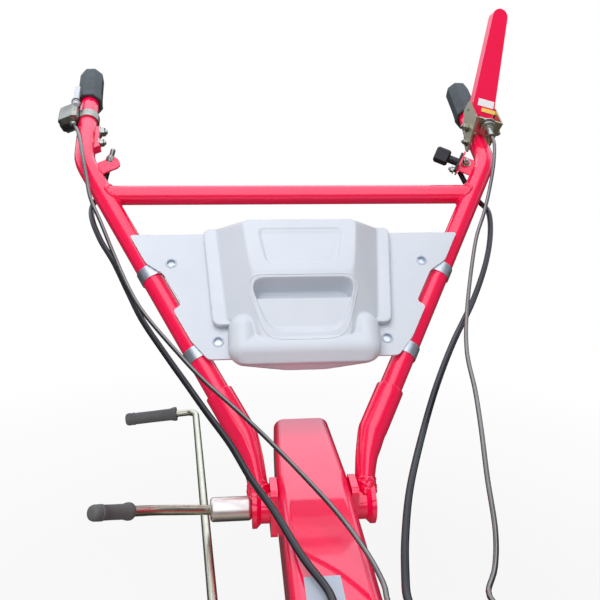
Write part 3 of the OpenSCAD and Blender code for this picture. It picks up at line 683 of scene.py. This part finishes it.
def footLoop(x, height, width, depth):
    loop = []
    for a in fullRound(beads["footSteps"]):
        wave = beads["wave"] * math.sin(beads["waves"] * a + height)
        loop.append((x + 0.5 * width * math.cos(a), height + wave, 0.5 * depth * math.sin(a)))
    return loop


def makeWelds():
    bead = Shape()
    for side in (1, -1):
        bead.weld(saddleLoop(), beads["saddle"], onArms(side))
        for *section, thick in beads["passes"]:
            bead.weld(footLoop(*section), beads["foot"] * thick, onArms(side), beads["footRough"])
    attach(bead.made("armWelds", red, beads["sharp"]), "handlebar")
    radius, top = beads["hubRadius"], beads["beamTop"]
    ring = [(radius * math.cos(a), radius * math.sin(a), top) for a in fullRound(beads["hubSteps"])]
    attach(Shape().weld(ring, beads["hub"], here).made("hubWeld", red, beads["sharp"]), "column")


makeWelds()
print("welds done")

fittingSharp = 30

# Bolts of the controls, as place, turn about Y, width across flats, height and washer's radius
boltGroups = {
    "rightBolts": {"on": onGrip(-1), "bolts": [
        ((-23, 84, 2), -90, 15, 8, 10), ((-23, 50, 2), -90, 13, 7, 9)]},
    "clutchBolts": {"on": onClutch(), "bolts": [
        ((27.4, 74, 22), 90, 11, 6, 8.5), ((-27.4, 76, 16), -90, 11, 6, 8.5),
        ((-27.4, 48, 2), -90, 9, 5, 7)]},
    "switchBolts": {"on": onTube(1, 545), "bolts": [
        ((-31, 21, 1.7), 0, 11, 6, 8.5), ((-44.5, 4, -8), -90, 9, 6, 7)]},
}


def makeBolts():
    for name, group in boltGroups.items():
        piece = Shape()
        for spot, turn, across, height, washer in group["bolts"]:
            piece.bolt(group["on"] @ moved(*spot) @ turned(turn, "Y"), across, height, washer)
        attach(piece.made(name, steel, fittingSharp), "handlebar")


# Black base under the throttle's housing, the collar of its thumb lever and the ball where its cable starts
throttle = {
    "at": (30, 126, 8), "turn": 20, "size": (37, 41, 19), "low": -6.0,
    "bevel": 4, "footEase": 5, "topEase": 1,
    "collarAt": (19, 153.2, 22), "collar": [(6, 0), (8.2, 0.6), (8.2, 4.4), (6, 5)], "collarSides": 24,
    "ball": 5.2, "ballSteps": 10, "ballSides": 20, "ballSharp": 50,
}


def bevelled(width, length, bevel):
    x, y = width / 2, length / 2
    return [(x - bevel, -y), (x, bevel - y), (x, y - bevel), (x - bevel, y), (bevel - x, y), (-x, y - bevel),
            (-x, bevel - y), (bevel - x, -y)]


def makeThrottle():
    spot = onGrip(-1) @ moved(*throttle["at"]) @ turned(throttle["turn"], "Y")
    wide, long, high = throttle["size"]
    foot, top = throttle["footEase"], throttle["topEase"]
    rows = []
    for shrink, z in ((foot, -high / 2), (0, foot - high / 2), (0, high / 2 - top), (top, high / 2)):
        outline = bevelled(wide - 2 * shrink, long - 2 * shrink, throttle["bevel"])
        rows.append([(x, y, z + throttle["low"]) for x, y in outline])
    base = Shape().rings(rows, spot)
    collarSpot = onGrip(-1) @ moved(*throttle["collarAt"]) @ turned(-90, "X")
    base.lathe(throttle["collar"], collarSpot, throttle["collarSides"])
    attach(base.made("throttleBase", black, fittingSharp), "handlebar")
    root = moved(*arms["pivot"]) @ moved(*cables["throttleCable"]["route"][0])
    radius, steps = throttle["ball"], throttle["ballSteps"]
    bow = [math.pi * k / steps for k in range(1, steps)]
    outline = [(radius * math.sin(a), -radius * math.cos(a)) for a in bow]
    ball = Shape().lathe(outline, root, throttle["ballSides"])
    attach(ball.made("cableBall", steel, throttle["ballSharp"]), "handlebar")


# Nuts of the clutch cable's adjuster, and the blank labels on the lever
clutchLook = {
    "nutsAt": (0, 61.6, 36), "nutSides": 24,
    "nuts": [(16.5, 0), (16.5, 2.2), (12, 2.4), (12, 7), (14, 7.2), (14, 9.4), (9.5, 9.6), (9.5, 14.4),
             (7, 15), (7, 20), (4.4, 24)],
    "leverAt": (0, 108, 36), "leverRaise": 46, "face": 8.02,
    "label": [(-13, 9), (19, 22)], "labelTop": 8.4, "tab": [(-4, -1), (24, 6)], "tabTop": 9.2,
}


def makeClutchDetails():
    spot = onClutch() @ moved(*clutchLook["nutsAt"]) @ turned(90, "X")
    nuts = Shape().lathe(clutchLook["nuts"], spot, clutchLook["nutSides"])
    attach(nuts.made("adjusterNuts", steel, fittingSharp), "handlebar")
    lever = onClutch() @ moved(*clutchLook["leverAt"]) @ turned(clutchLook["leverRaise"], "X")
    label = Shape().slab(rectangle(*clutchLook["label"]), clutchLook["face"], clutchLook["labelTop"], lever)
    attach(label.made("leverLabel", blankLabel, fittingSharp), "clutch_lever")
    tab = Shape().slab(rectangle(*clutchLook["tab"]), clutchLook["face"], clutchLook["tabTop"], lever)
    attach(tab.made("leverTab", yellowTab, fittingSharp), "clutch_lever")


# Tab that carries the right bolts
boltTab = {"outline": [(-26, 36), (-16, 30), (-16, 96), (-23, 96), (-23, 40)], "half": 7}


def makeBoltTab():
    tab = Shape().slab(boltTab["outline"], -boltTab["half"], boltTab["half"], onGrip(-1))
    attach(tab.made("boltTab", red, fittingSharp), "handlebar")


# Rims of the plate's four holes, by their heights on the arms, in a darker finish as painted shade
eyelets = {
    "heights": (234.7, 368.0), "inset": 38, "top": 22.9, "sides": 32, "sharp": 40,
    "profile": [(6.0, -7), (6.0, 0.2), (6.5, 0.9), (7.4, 1.1), (8.6, 0.7), (9, -0.1), (6.95, -0.1),
                (6.95, -7)],
}


def makeEyelets():
    rims = Shape()
    for side in (1, -1):
        for height in eyelets["heights"]:
            spot = moved(tubeX(height) - eyelets["inset"], height, eyelets["top"])
            rims.lathe(eyelets["profile"], onArms(side) @ spot, eyelets["sides"], hollow=True)
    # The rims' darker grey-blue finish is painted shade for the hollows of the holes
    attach(rims.made("plateEyelets", barePlateAndHoleShade, eyelets["sharp"]), "handlebar")


# End of the brake cable: a tab on the tube, a threaded barrel and its nuts as height, width and rise
ferrule = {
    "height": 548, "reach": 34, "wide": 24, "thick": 4, "inner": -10, "corner": 9, "ease": 2.6,
    "barrel": [(5.4, 0.2), (6, 1), (6, 19), (5, 20)], "barrelSides": 28,
    "rod": [(4.2, 19), (4.2, 30), (3, 32)], "rodSides": 20,
    "nuts": [(1.2, 15, 7), (10, 13, 6)], "washerShare": 0.62,
}


def makeFerrule():
    edge, wide, inner = -arms["tube"] / 2 - ferrule["reach"], ferrule["wide"], ferrule["inner"]
    corner, ease, half = ferrule["corner"], ferrule["ease"], ferrule["thick"] / 2
    outline = [(edge + ease, ease), (edge, corner), (edge, wide - corner), (edge + ease, wide - ease),
               (edge + corner, wide), (inner, wide), (inner, 0), (edge + corner, 0)]
    tab = Shape().slab(outline, -half, half, onTube(-1, ferrule["height"]))
    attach(tab.made("ferruleTab", red, fittingSharp), "handlebar")
    start, after = (Vector(p) for p in cables["brakeCable"]["route"][:2])
    place = moved(*arms["pivot"]) @ pointed(start, start - after)
    barrel = Shape().lathe(ferrule["barrel"], place, ferrule["barrelSides"])
    barrel.lathe(ferrule["rod"], place, ferrule["rodSides"])
    for low, across, high in ferrule["nuts"]:
        barrel.bolt(place @ moved(0, 0, low), across, high, across * ferrule["washerShare"])
    piece = barrel.made("ferruleBarrel", steel, fittingSharp)
    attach(piece, "handlebar")
    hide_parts("brake_ferrule")


# Bare plate on the beam's top
beamPlate = {"corners": [(-33, 96), (7, 154)], "heights": (92.02, 93)}


def makeBeamPlate():
    plate = Shape().slab(rectangle(*beamPlate["corners"]), *beamPlate["heights"], here)
    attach(plate.made("beamPlate", barePlateAndHoleShade, fittingSharp), "column")


makeBolts()
makeThrottle()
makeClutchDetails()
makeBoltTab()
makeEyelets()
makeFerrule()
makeBeamPlate()
print("fittings done")

# Finish and edge rounding of the solids that stay in view
edgeRound = {
    "beam": 0.0, "king_pin_hub": 1.5, "king_pin_seat": 1.5, "pivot_cheeks": 1.0, "pivot_bolt": 1.0,
    "rod_guide": 0.8, "cable_stop": 0.8, "cable_ends": 0.6, "eye_left": 1.2, "eye_right": 1.2,
    "tube_left": 0.0, "tube_right": 0.0, "crossbar": 0.0, "console_plate": 0.8, "tube_clips": 0.4,
    "throttle_housing": 1.2, "throttle_lever": 0.8, "clutch_bracket": 0.6, "clutch_pin": 0.6,
    "clutch_adjuster": 0.6, "switch_bracket": 0.6, "stop_switch": 1.0, "clutch_lever": 0.8,
    "clamp_handle": 0.0, "shift_rod": 0.0,
}
edgeLook = {"flatAngle": 1, "roundAngle": 40, "segments": 2, "sharp": 36}
slotFinish = {look.slot: look for look in (red, grey, black, steel, yellowSteel)}
ownFinish = {
    "throttle_housing": castMetal, "tube_clips": clipSteel, "shift_rod": rodSteel, "clamp_handle": rodSteel,
}


def smoothGroup():
    group = bpy.data.node_groups.new("smoothSides", "GeometryNodeTree")
    for way in ("INPUT", "OUTPUT"):
        group.interface.new_socket("Geometry", in_out=way, socket_type="NodeSocketGeometry")
    entry, leave = group.nodes.new("NodeGroupInput"), group.nodes.new("NodeGroupOutput")
    faces, edges = (group.nodes.new("GeometryNodeSetShadeSmooth") for _ in range(2))
    edges.domain = "EDGE"
    edges.inputs["Shade Smooth"].default_value = False
    angle = group.nodes.new("GeometryNodeInputMeshEdgeAngle")
    sharp = group.nodes.new("FunctionNodeCompare")
    sharp.operation = "GREATER_THAN"
    sharp.inputs[1].default_value = math.radians(edgeLook["sharp"])
    for start, end in ((entry.outputs[0], faces.inputs[0]), (faces.outputs[0], edges.inputs[0]),
                       (angle.outputs[0], sharp.inputs[0]), (sharp.outputs[0], edges.inputs["Selection"]),
                       (edges.outputs[0], leave.inputs[0])):
        group.links.new(start, end)
    return group


def dressSolids():
    smooth = smoothGroup()
    slots = {part["node"]: part["material_slot"] for part in frame["record"]["subparts"]}
    for name, width in edgeRound.items():
        node = nodes[name]
        look = ownFinish[name] if name in ownFinish else slotFinish[slots[name]]
        node.data.materials.clear()
        node.data.materials.append(look.material)
        if width:
            flat = node.modifiers.new("flat", "DECIMATE")
            flat.decimate_type, flat.angle_limit = "DISSOLVE", math.radians(edgeLook["flatAngle"])
            edge = node.modifiers.new("edge", "BEVEL")
            edge.width, edge.segments = width * millimetre, edgeLook["segments"]
            edge.limit_method, edge.angle_limit = "ANGLE", math.radians(edgeLook["roundAngle"])
        node.modifiers.new("smooth", "NODES").node_group = smooth


dressSolids()
print("solids done")

# White to the camera; in reflections a bright strip overhead, a bright wall behind, dim front and floor.
# Lengths here are in metres
studio = {
    "floor": -0.75, "floorSize": 12, "floorTone": (0.55, 0.05), "floorFade": (-0.9, 0.1),
    "shadowAt": (0, 0.6, -0.75), "shadowFade": (0.9, 2.2), "shadowShare": 0.2,
    "fill": 0.47, "dark": 0.04, "dim": 0.12, "bright": 1.9, "tint": (0.88, 0.95, 1.12),
    "strip": {"half": (0.5, 0.22), "low": (0.22, 0.36)},
    "wall": {"front": (-0.05, 0.25), "low": (0.06, 0.24), "share": 0.62},
}
white = (1, 1, 1)
floorFinish = {"Base Color": (0.9, 0.9, 0.9, 1), "Roughness": 0.9, "Specular IOR Level": 0.0}
lamps = {
    "overhead": {"place": (-0.36, -0.15, 2.1), "aim": (0, 0.55, 0.3), "size": (1.5, 1.5), "power": 33},
    "front": {"place": (-0.7, -1.7, 1.5), "aim": (0, 0.5, 0.35), "size": (1.4, 1.4), "power": 10},
}


def paleFloor():
    pale = Surface("paleFloor", **floorFinish)
    lit = Wire(pale, pale.shader.outputs[0])
    spot = pale.node("ShaderNodeNewGeometry", {}, "Position")
    near, far = studio["floorFade"]
    away = pale.node("ShaderNodeMapRange", {
        "Value": pale.axis(spot, "Y"), "From Min": near, "From Max": far})
    bright, dark = ((tone,) * 3 for tone in studio["floorTone"])
    dim = pale.node("ShaderNodeEmission", {"Color": pale.fade(away, bright, dark)})
    glow = pale.node("ShaderNodeEmission", {"Color": (*white, 1)})
    middle = studio["shadowAt"]
    reach = pale.node("ShaderNodeVectorMath", {0: spot, 1: middle}, "Value", operation="DISTANCE")
    low, high = studio["shadowFade"]
    clear = pale.node("ShaderNodeMapRange", {
        "Value": reach, "From Min": low, "From Max": high, "To Min": 1 - studio["shadowShare"], "To Max": 1})
    shown = pale.node("ShaderNodeMixShader", {0: clear, 1: lit, 2: glow})
    seen = pale.node("ShaderNodeLightPath", {}, "Is Camera Ray")
    mirrored = pale.node("ShaderNodeLightPath", {}, "Is Glossy Ray")
    dull = pale.node("ShaderNodeMixShader", {0: mirrored, 1: lit, 2: dim})
    mixed = pale.node("ShaderNodeMixShader", {0: seen, 1: dull, 2: shown})
    pale.tree.links.new(mixed.socket, pale.tree.nodes["Material Output"].inputs["Surface"])
    return pale


def makeFloor():
    mesh = bpy.data.meshes.new("floor")
    half = studio["floorSize"] / 2
    corners = [(x, y, studio["floor"]) for x, y in rectangle((-half, -half), (half, half))]
    mesh.from_pydata(corners, [], [(0, 1, 2, 3)])
    mesh.materials.append(paleFloor().material)
    ground = bpy.data.objects.new("floor", mesh)
    scene.collection.objects.link(ground)


def makeWorld():
    world = bpy.data.worlds.new("studio")
    scene.world = world
    world.use_nodes = True
    sky = Graph(world.node_tree)
    seen = sky.node("ShaderNodeLightPath", {}, "Is Camera Ray")
    mirrored = sky.node("ShaderNodeLightPath", {}, "Is Glossy Ray")
    way = sky.node("ShaderNodeTexCoord", {}, "Generated")
    x, y, z = (sky.axis(way, name) for name in "XYZ")

    def rise(value, ends):
        return sky.node("ShaderNodeMapRange", {"Value": value, "From Min": ends[0], "From Max": ends[1]},
                        interpolation_type="SMOOTHSTEP")

    sideways = sky.node("ShaderNodeMath", {0: x}, operation="ABSOLUTE")
    strip = rise(sideways, studio["strip"]["half"]) * rise(z, studio["strip"]["low"])
    behind = rise(y, studio["wall"]["front"])
    wall = behind * rise(z, studio["wall"]["low"]) * studio["wall"]["share"]
    shine = strip + wall - strip * wall
    dull = studio["dark"] + studio["dim"] * (1 - behind)
    level = seen + mirrored * (dull + studio["bright"] * shine) + (1 - seen - mirrored) * studio["fill"]
    backdrop = sky.tree.nodes["Background"]
    sky.tree.links.new(sky.fade(mirrored, white, studio["tint"]).socket, backdrop.inputs["Color"])
    sky.tree.links.new(level.socket, backdrop.inputs["Strength"])


def makeLamps():
    for name, lamp in lamps.items():
        data = bpy.data.lights.new(name, "AREA")
        data.shape, data.energy = "RECTANGLE", lamp["power"]
        data.size, data.size_y = lamp["size"]
        light = bpy.data.objects.new(name, data)
        light.location = lamp["place"]
        light.visible_glossy = False
        light.rotation_mode = "QUATERNION"
        light.rotation_quaternion = (Vector(lamp["aim"]) - Vector(lamp["place"])).to_track_quat("-Z", "Y")
        scene.collection.objects.link(light)


makeFloor()
makeWorld()
makeLamps()
scene.view_settings.view_transform = "Standard"
print("studio done")
